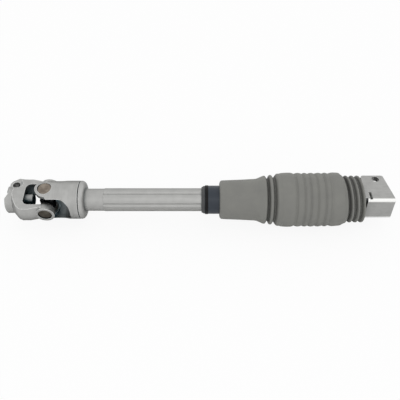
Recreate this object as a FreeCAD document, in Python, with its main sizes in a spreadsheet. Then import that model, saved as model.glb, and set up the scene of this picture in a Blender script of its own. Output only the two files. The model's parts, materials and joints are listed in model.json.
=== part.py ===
import FreeCAD, Part
import os
import Sketcher

# Intermediate steering shaft: two universal joints, a telescoping fluted shaft and a rubber boot.
# Frame: +X runs along the shaft from the upper clamp to the lower one, +Z is up.
# The origin is on the shaft axis, level with the upper pinch bolt.

os.makedirs("parts", exist_ok=True)
doc = FreeCAD.newDocument("intermediate_shaft")
vec = FreeCAD.Vector

# Driving dimensions, in millimetres and degrees
dimensions = {
    # places along the shaft
    "upperBoltToJoint": 35.0,
    "jointToJoint": 307.0,
    "lowerJointToBolt": 53.3,
    "upperPhase": 7.0,
    "flutePhase": 12.0,
    # universal joint
    "lugFace": 20.8,
    "lugRadius": 10.2,
    "armInner": 14.0,
    "armHalfWidth": 10.0,
    "armCrownDrop": 0.5,
    "forkDepth": 24.0,
    "forkCorner": 6.0,
    "cupRadius": 7.5,
    "cupRecess": 1.2,
    "cupLength": 8.6,
    "cupFloor": 1.3,
    "cupEdge": 0.4,
    "cupBoreClearance": 0.05,
    "trunnionRadius": 4.4,
    "trunnionEndGap": 0.15,
    "crossShoulderRadius": 6.4,
    "crossShoulderGap": 1.4,
    "crossCoreHalf": 7.2,
    "crossCoreChamfer": 2.0,
    "needleRadius": 1.1,
    "needleLength": 6.0,
    "needleCount": 15,
    "needleClearance": 0.03,
    "sealRadius": 7.3,
    "sealThickness": 1.2,
    "sealClearance": 0.1,
    "seatGap": 0.05,
    # upper clamp yoke
    "hubRadius": 14.5,
    "hubOverhang": 8.5,
    "hubChamfer": 0.8,
    "hubFlare": 9.8,
    "hubFloor": 3.7,
    "shoulderStep": 2.1,
    "shoulderRoot": 1.8,
    "shoulderRound": 3.4,
    "shoulderDrop": 1.4,
    "shoulderLength": 8.5,
    "shoulderTaper": 12.3,
    "sideTrimRoot": 0.5,
    "sideTrimLength": 11.5,
    "splineRadius": 8.75,
    "bossRadius": 6.5,
    "bossLength": 9.0,
    "bossRoot": 1.5,
    "bossHoleRadius": 3.5,
    "upperBoltRadius": 4.1,
    "upperBoltOffset": 13.4,
    "earRadius": 6.9,
    "earHalfHeight": 9.0,
    "boltSeatMargin": 0.3,
    "gussetStart": 3.4,
    "gussetPeak": 2.0,
    "gussetRise": 9.2,
    "gussetEnd": 7.9,
    "endBevelWidth": 3.8,
    "endBevelStart": 8.5,
    "endBevelMiddle": 3.0,
    "pinchSlot": 2.5,
    "pinchSlotEnd": 29.5,
    # collar yoke
    "collarStep": 0.1,
    "collarEnd": 36.2,
    "collarForkDepth": 27.5,
    "collarForkCorner": 12.0,
    "collarTrimStart": 0.5,
    "collarTrimEnd": 9.0,
    "collarArmWall": 4.4,
    "collarWall": 3.5,
    "collarPocketDepth": 6.6,
    "collarEdge": 0.5,
    "bushLip": 0.75,
    "bushLipInset": 0.8,
    "endPlateWidth": 4.85,
    "endPlateFlat": 4.2,
    # inner shaft
    "plainRadius": 12.2,
    "fluteBarRadius": 12.65,
    "fluteStart": 62.5,
    "shaftEndGap": 57.0,
    "innerShaftChamfer": 0.8,
    "fluteCentre": 14.15,
    "fluteRadius": 2.4,
    "fluteCount": 6,
    # slip sleeve and outer tube
    "sleeveWall": 0.5,
    "sleeveLength": 45.0,
    "sleeveClearance": 0.03,
    "slipClearance": 0.08,
    "tubeRadius": 14.7,
    "tubeStart": 131.0,
    "yokeFloor": 4.0,
    # end cap, wiper seal and retaining ring
    "capRadius": 15.55,
    "capLip": 4.0,
    "capLength": 16.0,
    "capBoreRadius": 13.0,
    "capWaist": 15.15,
    "ringRadius": 15.9,
    "ringInset": 0.5,
    "ringWidth": 3.3,
    "wiperLength": 3.35,
    "wiperLand": 0.7,
    "wiperTipRadius": 13.8,
    "wiperRadius": 15.2,
    # tube yoke
    "socketLength": 8.0,
    "socketRadius": 17.0,
    "socketFlare": 3.0,
    # boot: how far each place is from the lower joint, and its radius
    "bootWall": 1.6,
    "bootLipWidth": 2.0,
    "bootLipGap": 0.3,
    "bootLipPlace": 118.7,
    "bootLipRadius": 18.4,
    "bootLipEdgePlace": 117.8,
    "bootLipEdgeRadius": 20.3,
    "bootNeckPlace": 115.8,
    "bootNeckRadius": 21.2,
    "bootSleevePlace": 96.0,
    "bootSleeveRadius": 22.05,
    "bootSleeveEndPlace": 79.5,
    "bootSleeveEndRadius": 23.0,
    "bootFlarePlace": 76.2,
    "bootFlareRadius": 24.0,
    "bootShoulderPlace": 71.8,
    "bootShoulderRadius": 25.9,
    "bootCollarPlace": 69.6,
    "bootCollarRadius": 26.4,
    "bootCollarGroovePlace": 67.0,
    "bootCollarGrooveRadius": 23.6,
    "bootBeadPlace": 63.4,
    "bootBeadRadius": 27.3,
    "bootBeadGroovePlace": 60.2,
    "bootBeadGrooveRadius": 24.6,
    "bootRisePlace": 57.2,
    "bootRiseRadius": 28.3,
    "bootRiseEndPlace": 52.0,
    "bootRiseEndRadius": 29.3,
    "bootCrestPlace": 42.1,
    "bootCrestRadius": 29.75,
    "bootRippleStart": 37.7,
    "bootRipplePitch": 7.14,
    "bootRippleCount": 5,
    "bootRippleLow": 28.9,
    "bootRippleHigh": 29.5,
    "bootBandEnd": 11.3,
    "bootBandRadius": 28.95,
    "bootTaperEnd": 15.6,
    "bootTaperRadius": 26.8,
    "bootFoldStart": 18.05,
    "bootFoldPitch": 6.1,
    "bootFoldRise": 3.1,
    "bootFoldRound": 1.2,
    "bootFoldEase": 0.25,
    "bootFoldCount": 3,
    "bootFoldRadius": 25.9,
    "bootFoldTaper": 0.35,
    "bootFoldDepth": 3.2,
    "bootEndLand": 2.0,
    # lower clamp yoke, folded from sheet
    "sheetThickness": 6.2,
    "channelHalf": 14.8,
    "channelBack": 23.1,
    "bendRadius": 3.8,
    "innerBendRadius": 1.0,
    "earFlareStart": 10.4,
    "earFlareEnd": 24.0,
    "earFlareShift": 0.8,
    "neckHalf": 12.0,
    "webStart": 39.3,
    "channelEnd": 68.6,
    "channelEndSlant": 6.3,
    "flangeShoulder": 38.0,
    "flangeCorner": 2.5,
    "lowerBoltRadius": 4.1,
    "lowerBoltOffset": 17.3,
    "reliefInset": 2.2,
    "reliefWidth": 2.8,
    "reliefSkin": 1.4,
    "reliefLength": 10.5,
    # how far a cutting body runs past what it cuts
    "overrun": 1.0,
}

sheet = doc.addObject("Spreadsheet::Sheet", "sizes")
for row, (alias, value) in enumerate(dimensions.items(), start=1):
    sheet.set("A%d" % row, alias)
    sheet.set("B%d" % row, str(value))
    sheet.setAlias("B%d" % row, alias)
doc.recompute()


def number(expression):
    """Value of an expression of the sheet."""
    value = sheet.evalExpression(str(expression))
    return float(getattr(value, "Value", value))


# Expressions of the sheet, short names for the sums that come up more than once
upperJoint = "sizes.upperBoltToJoint"
lowerJoint = "sizes.upperBoltToJoint + sizes.jointToJoint"
cupFace = "sizes.lugFace - sizes.cupRecess"
cupMouth = "sizes.lugFace - sizes.cupRecess - sizes.cupLength"
needlePitch = "(sizes.trunnionRadius + sizes.needleClearance + sizes.needleRadius)"
cupBore = needlePitch + " + sizes.needleRadius + sizes.needleClearance"
hubEnd = "-(sizes.upperBoltToJoint + sizes.hubOverhang)"
hubFlareEnd = "-(sizes.forkDepth + sizes.shoulderRoot)"
shoulderRadius = "(sizes.lugFace + sizes.shoulderStep)"
collarRadius = "(sizes.lugFace + sizes.collarStep)"
pocketRadius = collarRadius + " - sizes.collarWall"
bushRadius = pocketRadius + " - sizes.seatGap"
spigotRadius = "sizes.plainRadius + sizes.seatGap"
plateStart = "sizes.collarEnd + sizes.bushLip + 2 * sizes.seatGap"
sleeveRadius = "sizes.fluteBarRadius + sizes.sleeveWall"
tubeBore = "sizes.fluteBarRadius + sizes.sleeveWall + sizes.slipClearance"
tubeEnd = "(sizes.forkDepth + sizes.yokeFloor)"
armCrown = "sizes.lugFace - sizes.armCrownDrop"
collarArmInner = "(" + collarRadius + " - sizes.collarArmWall)"
innerShaftEnd = "(sizes.jointToJoint - sizes.shaftEndGap)"
capStart = "(sizes.tubeStart + sizes.capLip)"
capEnd = "(sizes.tubeStart + sizes.capLip - sizes.capLength)"
ringStart = "(sizes.tubeStart + sizes.capLip - sizes.ringInset)"

parts = []


def keep(item, label):
    """Names a finished sub-part and lists it for export."""
    item.Label = label
    parts.append(item)
    return item


def place(item, station, turn="0"):
    """Puts a sub-part at a station of the shaft axis, turned about that axis."""
    item.setExpression("Placement.Base.x", station)
    item.Placement.Rotation = FreeCAD.Rotation(vec(1, 0, 0), number(turn))
    item.setExpression("Placement.Rotation.Angle", turn)
    return item


def newBody(label):
    return doc.addObject("PartDesign::Body", label)


def newSketch(body, name, role, offset=None):
    """Sketch on one of the body's own origin planes, offset along the plane's normal."""
    sketch = body.newObject("Sketcher::SketchObject", name)
    plane = [item for item in body.Origin.OriginFeatures if item.Role == role][0]
    sketch.AttachmentSupport = [(plane, "")]
    sketch.MapMode = "FlatFace"
    if offset is not None:
        sketch.setExpression("AttachmentOffset.Base.z", offset)
    return sketch


def dimension(sketch, kind, edge, point, expression):
    """Distance of a sketch point from the sketch's origin, bound to the sheet."""
    constraint = Sketcher.Constraint(kind, -1, 1, edge, point, number(expression))
    index = sketch.addConstraint(constraint)
    sketch.setExpression("Constraints[%d]" % index, str(expression))


def loop(sketch, points):
    """Closed loop of straight lines; each corner is a pair of sheet expressions."""
    first = len(sketch.Geometry)
    count = len(points)
    corners = [vec(number(x), number(y), 0) for x, y in points]
    for index in range(count):
        line = Part.LineSegment(corners[index], corners[(index + 1) % count])
        sketch.addGeometry(line, False)
    for index in range(count):
        following = first + (index + 1) % count
        sketch.addConstraint(Sketcher.Constraint("Coincident", first + index, 2, following, 1))
    for index, (x, y) in enumerate(points):
        dimension(sketch, "DistanceX", first + index, 1, x)
        dimension(sketch, "DistanceY", first + index, 1, y)


def ring(sketch, x, y, radius):
    """Circle whose centre and radius are sheet expressions."""
    centre = vec(number(x), number(y), 0)
    edge = sketch.addGeometry(Part.Circle(centre, vec(0, 0, 1), number(radius)), False)
    dimension(sketch, "DistanceX", edge, 3, x)
    dimension(sketch, "DistanceY", edge, 3, y)
    index = sketch.addConstraint(Sketcher.Constraint("Radius", edge, number(radius)))
    sketch.setExpression("Constraints[%d]" % index, radius)


def turned(body, name, points, kind="PartDesign::Revolution"):
    """Profile of stations and radii turned about the body's X axis."""
    sketch = newSketch(body, name + "_profile", "XY_Plane")
    loop(sketch, points)
    feature = body.newObject(kind, name)
    feature.Profile = sketch
    feature.ReferenceAxis = (sketch, ["H_Axis"])
    feature.Angle = 360
    return feature


def pad(body, sketch, name, length, side="Symmetric", reverse=False):
    feature = body.newObject("PartDesign::Pad", name)
    feature.Profile = sketch
    feature.SideType = side
    feature.Reversed = reverse
    feature.setExpression("Length", length)
    return feature


def pocket(body, sketch, name, length=None, side="Symmetric", reverse=False):
    """Cut through everything, or to a length."""
    feature = body.newObject("PartDesign::Pocket", name)
    feature.Profile = sketch
    feature.SideType = side
    feature.Reversed = reverse
    if length is None:
        feature.Type = "ThroughAll"
    else:
        feature.setExpression("Length", length)
    return feature


def straightEdges(feature, direction, spots):
    """Names of the straight edges along a direction that pass through any of the spots."""
    doc.recompute()
    names = []
    for index, edge in enumerate(feature.Shape.Edges, start=1):
        if edge.Curve.TypeId != "Part::GeomLine":
            continue
        if edge.Curve.Direction.cross(direction).Length > 1e-6:
            continue
        middle = edge.CenterOfMass
        offsets = [middle - spot for spot in spots]
        if min((o - direction * o.dot(direction)).Length for o in offsets) < 1e-4:
            names.append("Edge%d" % index)
    return names


def dress(body, feature, name, edges, radius, kind="PartDesign::Fillet"):
    """Fillet or chamfer on the named edges of a feature."""
    item = body.newObject(kind, name)
    item.Base = (feature, edges)
    item.setExpression("Radius" if kind.endswith("Fillet") else "Size", radius)
    return item


def forkGap(body, bottom, mouth, corner, half="sizes.armInner"):
    """Gap between two arms that lie on +Z and -Z, with a rounded bottom."""
    sketch = newSketch(body, "fork_gap_outline", "XZ_Plane")
    loop(sketch, [(bottom, "-" + half), (mouth, "-" + half), (mouth, half), (bottom, half)])
    gap = pocket(body, sketch, "fork_gap")
    level = number(half)
    spots = [vec(number(bottom), 0, side * level) for side in (1, -1)]
    edges = straightEdges(gap, vec(0, 1, 0), spots)
    return dress(body, gap, "fork_gap_corners", edges, corner)


def armSides(body, profile):
    """Trims both flanks of the arms along a profile given for the +Y side."""
    for name, sign in (("flank_left", ""), ("flank_right", "-")):
        sketch = newSketch(body, name + "_outline", "XY_Plane")
        loop(sketch, [(x, sign + "(" + y + ")") for x, y in profile])
        pocket(body, sketch, name)


def lugs(body, inner, crown=None):
    """Round lugs on +Z and -Z, flat or on a crown radius, and the bore for the two bearing cups."""
    top = "sizes.lugFace" if crown is None else "sizes.lugFace + sizes.overrun"
    for name, level, reverse in (("upper_lug", inner, False), ("lower_lug", "-(" + inner + ")", True)):
        sketch = newSketch(body, name + "_outline", "XY_Plane", level)
        ring(sketch, "0", "0", "sizes.lugRadius")
        pad(body, sketch, name, top + " - (" + inner + ")", "One side", reverse)
    if crown is not None:
        turned(body, "lug_crown", [
            ("-sizes.lugRadius - sizes.overrun", crown),
            ("-sizes.lugRadius - sizes.overrun", "2 * sizes.lugFace"),
            ("sizes.lugRadius + sizes.overrun", "2 * sizes.lugFace"),
            ("sizes.lugRadius + sizes.overrun", crown),
        ], "PartDesign::Groove")
    sketch = newSketch(body, "cup_bore_outline", "XY_Plane")
    ring(sketch, "0", "0", "sizes.cupRadius + sizes.cupBoreClearance")
    return pocket(body, sketch, "cup_bore")


# Upper clamp yoke: splined hub with two pinch ears, and a fork
def upperClampYoke():
    body = newBody("upper_clamp_yoke")
    trimEnd = "-(sizes.forkDepth + sizes.sideTrimRoot)"
    splineEnd = "-(sizes.forkDepth + sizes.hubFloor)"
    turned(body, "hub_and_fork", [
        (hubEnd, "0"),
        (hubEnd, "sizes.hubRadius - sizes.hubChamfer"),
        (hubEnd + " + sizes.hubChamfer", "sizes.hubRadius"),
        (hubFlareEnd + " - sizes.hubFlare", "sizes.hubRadius"),
        (hubFlareEnd + " - sizes.shoulderRound", shoulderRadius + " - sizes.shoulderDrop"),
        (hubFlareEnd, shoulderRadius),
        (hubFlareEnd + " + sizes.shoulderLength", shoulderRadius),
        (hubFlareEnd + " + sizes.shoulderLength + sizes.shoulderTaper", armCrown),
        ("0", armCrown),
        ("0", "0"),
    ])
    forkGap(body, "-sizes.forkDepth", "sizes.lugRadius", "sizes.forkCorner")
    armSides(body, [
        (trimEnd + " - sizes.sideTrimLength", "sizes.hubRadius + sizes.overrun / 4"),
        (trimEnd, "sizes.armHalfWidth"),
        ("sizes.lugRadius", "sizes.armHalfWidth"),
        ("sizes.lugRadius", "2 * " + shoulderRadius),
        (trimEnd + " - sizes.sideTrimLength", "2 * " + shoulderRadius),
    ])
    lugs(body, "sizes.armInner")
    turned(body, "inner_boss", [
        ("-sizes.forkDepth - sizes.bossRoot", "0"),
        ("-sizes.forkDepth - sizes.bossRoot", "sizes.bossRadius"),
        ("-sizes.forkDepth + sizes.bossLength - sizes.hubChamfer", "sizes.bossRadius"),
        ("-sizes.forkDepth + sizes.bossLength", "sizes.bossRadius - sizes.hubChamfer"),
        ("-sizes.forkDepth + sizes.bossLength", "0"),
    ])
    sketch = newSketch(body, "ear_outline", "XZ_Plane")
    ring(sketch, "-sizes.upperBoltToJoint", "sizes.upperBoltOffset", "sizes.earRadius")
    pad(body, sketch, "pinch_ears", "2 * sizes.earHalfHeight")
    sketch = newSketch(body, "ear_root_outline", "XZ_Plane")
    loop(sketch, [
        ("-sizes.upperBoltToJoint - sizes.earRadius", "0"),
        ("-sizes.upperBoltToJoint + sizes.earRadius", "0"),
        ("-sizes.upperBoltToJoint + sizes.earRadius", "sizes.upperBoltOffset"),
        ("-sizes.upperBoltToJoint - sizes.earRadius", "sizes.upperBoltOffset"),
    ])
    pad(body, sketch, "ear_roots", "2 * sizes.earHalfHeight")
    sketch = newSketch(body, "gusset_outline", "XZ_Plane")
    loop(sketch, [
        ("-sizes.upperBoltToJoint - sizes.gussetStart", "0"),
        ("-sizes.upperBoltToJoint - sizes.gussetStart",
         "sizes.upperBoltOffset + sqrt(sizes.earRadius ^ 2 - sizes.gussetStart ^ 2)"),
        ("-sizes.upperBoltToJoint + sizes.gussetPeak", "sizes.upperBoltOffset + sizes.gussetRise"),
        (hubFlareEnd, "sizes.upperBoltOffset + sizes.gussetEnd"),
        (hubFlareEnd, "0"),
    ])
    pad(body, sketch, "ear_gusset", "2 * sizes.earHalfHeight")
    turned(body, "splined_bore", [
        (hubEnd, "0"),
        (hubEnd, "sizes.splineRadius + sizes.hubChamfer"),
        (hubEnd + " + sizes.hubChamfer", "sizes.splineRadius"),
        (splineEnd, "sizes.splineRadius"),
        (splineEnd, "sizes.bossHoleRadius"),
        ("-sizes.forkDepth + sizes.bossLength", "sizes.bossHoleRadius"),
        ("-sizes.forkDepth + sizes.bossLength", "0"),
    ], "PartDesign::Groove")
    sketch = newSketch(body, "pinch_slot_outline", "XZ_Plane")
    loop(sketch, [
        (hubEnd, "0"),
        ("-sizes.pinchSlotEnd", "0"),
        ("-sizes.pinchSlotEnd", "2 * " + shoulderRadius),
        (hubEnd, "2 * " + shoulderRadius),
    ])
    pocket(body, sketch, "pinch_slot", "sizes.pinchSlot")
    sketch = newSketch(body, "pinch_bolt_outline", "XZ_Plane")
    ring(sketch, "-sizes.upperBoltToJoint", "sizes.upperBoltOffset", "sizes.upperBoltRadius")
    pocket(body, sketch, "pinch_bolt_bore")
    for name, level, reverse in (("left_bolt_seat", "sizes.earHalfHeight", True),
                                 ("right_bolt_seat", "-sizes.earHalfHeight", False)):
        sketch = newSketch(body, name + "_outline", "XZ_Plane", level)
        ring(sketch, "-sizes.upperBoltToJoint", "sizes.upperBoltOffset",
             "sizes.earRadius + sizes.boltSeatMargin")
        pocket(body, sketch, name, "sizes.hubRadius", "One side", reverse)
    bevelEnd = hubEnd + " + sizes.endBevelWidth"
    for name, level, reverse in (("left_end_bevel", "sizes.earHalfHeight", True),
                                 ("right_end_bevel", "-sizes.earHalfHeight", False)):
        sketch = newSketch(body, name + "_outline", "XZ_Plane", level)
        loop(sketch, [
            (hubEnd + " - sizes.overrun", "-sizes.endBevelStart - sizes.overrun"),
            (bevelEnd, "-sizes.endBevelMiddle"),
            (bevelEnd, "sizes.hubRadius + sizes.overrun"),
            (hubEnd + " - sizes.overrun", "sizes.hubRadius + sizes.overrun"),
        ])
        pocket(body, sketch, name, "sizes.hubRadius", "One side", reverse)
    place(body, upperJoint, "sizes.upperPhase - 90")
    return keep(body, "upper_clamp_yoke")


# Collar yoke: a fork cut into the end of a hollow collar
def collarYoke():
    body = newBody("collar_yoke")
    turned(body, "collar", [
        ("0", "0"),
        ("0", collarRadius),
        ("sizes.collarEnd - sizes.collarEdge", collarRadius),
        ("sizes.collarEnd", collarRadius + " - sizes.collarEdge"),
        ("sizes.collarEnd", "0"),
    ])
    forkGap(body, "sizes.collarForkDepth", "-sizes.lugRadius", "sizes.collarForkCorner", collarArmInner)
    armSides(body, [
        ("-sizes.lugRadius", "sizes.armHalfWidth"),
        ("sizes.collarTrimStart", "sizes.armHalfWidth"),
        ("sizes.collarTrimEnd", collarRadius + " + sizes.overrun"),
        ("sizes.collarTrimEnd", "2 * " + collarRadius),
        ("-sizes.lugRadius", "2 * " + collarRadius),
    ])
    lugs(body, "sizes.armInner", collarRadius)
    turned(body, "bush_pocket", [
        ("sizes.collarEnd - sizes.collarPocketDepth", "0"),
        ("sizes.collarEnd - sizes.collarPocketDepth", pocketRadius),
        ("sizes.collarEnd", pocketRadius),
        ("sizes.collarEnd", "0"),
    ], "PartDesign::Groove")
    place(body, upperJoint, "sizes.upperPhase")
    return keep(body, "collar_yoke")


# Rubber bush bonded between the collar and the shaft, its lip showing in the groove
def damperBush():
    body = newBody("damper_bush")
    turned(body, "bush", [
        ("sizes.collarEnd - sizes.collarPocketDepth + sizes.seatGap", spigotRadius),
        ("sizes.collarEnd - sizes.collarPocketDepth + sizes.seatGap", bushRadius),
        ("sizes.collarEnd + sizes.seatGap", bushRadius),
        ("sizes.collarEnd + sizes.seatGap", collarRadius + " - sizes.bushLipInset"),
        ("sizes.collarEnd + sizes.seatGap + sizes.bushLip", collarRadius + " - sizes.bushLipInset"),
        ("sizes.collarEnd + sizes.seatGap + sizes.bushLip", spigotRadius),
    ])
    place(body, upperJoint)
    return keep(body, "damper_bush")


# Rounded steel plate that closes the collar
def collarEndPlate():
    body = newBody("collar_end_plate")
    plate = turned(body, "plate", [
        (plateStart, spigotRadius),
        (plateStart, collarRadius),
        (plateStart + " + sizes.endPlateWidth", collarRadius),
        (plateStart + " + sizes.endPlateWidth", spigotRadius),
    ])
    doc.recompute()
    station = number(plateStart + " + sizes.endPlateWidth")
    rim = number(collarRadius)
    edges = []
    for index, edge in enumerate(plate.Shape.Edges, start=1):
        if edge.Curve.TypeId == "Part::GeomCircle" and abs(edge.Curve.Radius - rim) < 1e-6:
            if abs(edge.Curve.Center.x - station) < 1e-6:
                edges.append("Edge%d" % index)
    dress(body, plate, "plate_shoulder", edges, collarRadius + " - sizes.plainRadius - sizes.endPlateFlat")
    place(body, upperJoint)
    return keep(body, "collar_end_plate")


def fluteCuts(body, radius, start, length):
    """Lengthwise flutes around a bar, cut from a station towards +X."""
    sketch = newSketch(body, "flute_outline", "YZ_Plane", start)
    ring(sketch, "0", "sizes.fluteCentre", radius)
    cut = pocket(body, sketch, "flute", length, "One side", True)
    pattern = body.newObject("PartDesign::PolarPattern", "flutes")
    pattern.Originals = [cut]
    axis = [item for item in body.Origin.OriginFeatures if item.Role == "X_Axis"][0]
    pattern.Axis = (axis, [""])
    pattern.Angle = 360
    pattern.setExpression("Occurrences", "sizes.fluteCount")
    body.Tip = pattern
    return pattern


def flutedBar(label, start, end, radius, fluteRadius):
    """Round bar with the shaft's flutes, between two stations."""
    body = newBody(label)
    turned(body, "bar", [(start, "0"), (start, radius), (end, radius), (end, "0")])
    fluteCuts(body, fluteRadius, start, "(" + end + ") - (" + start + ")")
    return body


# Inner shaft: plain neck pressed into the collar, fluted bar into the tube
def innerShaft():
    body = newBody("inner_shaft")
    turned(body, "shaft", [
        ("sizes.collarEnd - sizes.collarPocketDepth + sizes.bushLip", "0"),
        ("sizes.collarEnd - sizes.collarPocketDepth + sizes.bushLip", "sizes.plainRadius"),
        ("sizes.fluteStart", "sizes.plainRadius"),
        ("sizes.fluteStart", "sizes.fluteBarRadius"),
        (innerShaftEnd + " - sizes.innerShaftChamfer", "sizes.fluteBarRadius"),
        (innerShaftEnd, "sizes.fluteBarRadius - sizes.innerShaftChamfer"),
        (innerShaftEnd, "0"),
    ])
    fluteCuts(body, "sizes.fluteRadius", "sizes.fluteStart", innerShaftEnd + " - sizes.fluteStart")
    place(body, upperJoint, "sizes.flutePhase")
    return keep(body, "inner_shaft")


# Plastic slip sleeve moulded on the end of the fluted bar
def slipSleeve():
    start = innerShaftEnd + " - sizes.sleeveLength"
    outer = flutedBar("sleeve_outside", start, innerShaftEnd + " - sizes.innerShaftChamfer", sleeveRadius,
                      "sizes.fluteRadius - sizes.sleeveWall")
    inner = flutedBar("sleeve_inside", start + " - sizes.overrun", innerShaftEnd + " + sizes.overrun",
                      "sizes.fluteBarRadius + sizes.sleeveClearance",
                      "sizes.fluteRadius - sizes.sleeveClearance")
    sleeve = doc.addObject("Part::Cut", "slip_sleeve")
    sleeve.Base = outer
    sleeve.Tool = inner
    place(sleeve, upperJoint, "sizes.flutePhase")
    return keep(sleeve, "slip_sleeve")


# Outer tube whose bore has ribs for the shaft's flutes
def outerTube():
    wall = doc.addObject("Part::Cylinder", "tube_outside")
    wall.setExpression("Radius", "sizes.tubeRadius")
    wall.setExpression("Height", "sizes.tubeStart - " + tubeEnd)
    wall.Placement.Rotation = FreeCAD.Rotation(vec(0, 1, 0), 90)
    wall.setExpression("Placement.Base.x", "-sizes.tubeStart")
    bore = flutedBar("tube_inside", "-sizes.tubeStart - sizes.overrun", "sizes.overrun - " + tubeEnd,
                     tubeBore, "sizes.fluteRadius - sizes.sleeveWall - sizes.slipClearance")
    tube = doc.addObject("Part::Cut", "outer_tube")
    tube.Base = wall
    tube.Tool = bore
    place(tube, lowerJoint, "sizes.flutePhase")
    return keep(tube, "outer_tube")


# Plastic cap over the open end of the tube
def tubeEndCap():
    body = newBody("tube_end_cap")
    turned(body, "cap", [
        ("-" + capStart, "sizes.capBoreRadius"),
        ("-" + capStart, "sizes.capWaist - sizes.seatGap"),
        ("-" + ringStart + " + sizes.ringWidth", "sizes.capWaist - sizes.seatGap"),
        ("-" + ringStart + " + sizes.ringWidth", "sizes.capRadius"),
        ("-" + capEnd, "sizes.capRadius"),
        ("-" + capEnd, "sizes.tubeRadius + sizes.seatGap"),
        ("-sizes.tubeStart - sizes.seatGap", "sizes.tubeRadius + sizes.seatGap"),
        ("-sizes.tubeStart - sizes.seatGap", "sizes.capBoreRadius"),
    ])
    place(body, lowerJoint)
    return keep(body, "tube_end_cap")


# Black ring in the cap's waist
def retainingRing():
    body = newBody("retaining_ring")
    turned(body, "band", [
        ("-" + ringStart, "sizes.capWaist"),
        ("-" + ringStart, "sizes.ringRadius"),
        ("-" + ringStart + " + sizes.ringWidth - sizes.seatGap", "sizes.ringRadius"),
        ("-" + ringStart + " + sizes.ringWidth - sizes.seatGap", "sizes.capWaist"),
    ])
    place(body, lowerJoint)
    return keep(body, "retaining_ring")


# Tapered rubber lip that wipes the fluted shaft
def wiperSeal():
    body = newBody("wiper_seal")
    foot = "-" + capStart + " - sizes.seatGap"
    turned(body, "lip", [
        (foot + " - sizes.wiperLength", "sizes.fluteBarRadius + sizes.sealClearance"),
        (foot + " - sizes.wiperLength", "sizes.wiperTipRadius"),
        (foot + " - sizes.wiperLand", "sizes.wiperRadius"),
        (foot, "sizes.wiperRadius"),
        (foot, "sizes.fluteBarRadius + sizes.sealClearance"),
    ])
    place(body, lowerJoint)
    return keep(body, "wiper_seal")


# Tube yoke: socket welded on the tube, and a fork
def tubeYoke():
    body = newBody("tube_yoke")
    turned(body, "socket_and_fork", [
        ("-sizes.socketLength - " + tubeEnd, "0"),
        ("-sizes.socketLength - " + tubeEnd, "sizes.socketRadius"),
        ("-" + tubeEnd, "sizes.socketRadius"),
        ("sizes.socketFlare - " + tubeEnd, armCrown),
        ("0", armCrown),
        ("0", "0"),
    ])
    forkGap(body, "-sizes.forkDepth", "sizes.lugRadius", "sizes.forkCorner")
    armSides(body, [
        ("-" + tubeEnd, "sizes.socketRadius + sizes.overrun"),
        ("sizes.forkCorner + sizes.socketFlare - " + tubeEnd, "sizes.armHalfWidth"),
        ("sizes.lugRadius", "sizes.armHalfWidth"),
        ("sizes.lugRadius", "2 * sizes.lugFace"),
        ("-" + tubeEnd, "2 * sizes.lugFace"),
    ])
    lugs(body, "sizes.armInner")
    turned(body, "tube_socket", [
        ("-sizes.socketLength - " + tubeEnd, "0"),
        ("-sizes.socketLength - " + tubeEnd, "sizes.tubeRadius + sizes.seatGap"),
        ("sizes.seatGap - " + tubeEnd, "sizes.tubeRadius + sizes.seatGap"),
        ("sizes.seatGap - " + tubeEnd, "0"),
    ], "PartDesign::Groove")
    place(body, lowerJoint, "90")
    return keep(body, "tube_yoke")


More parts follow.
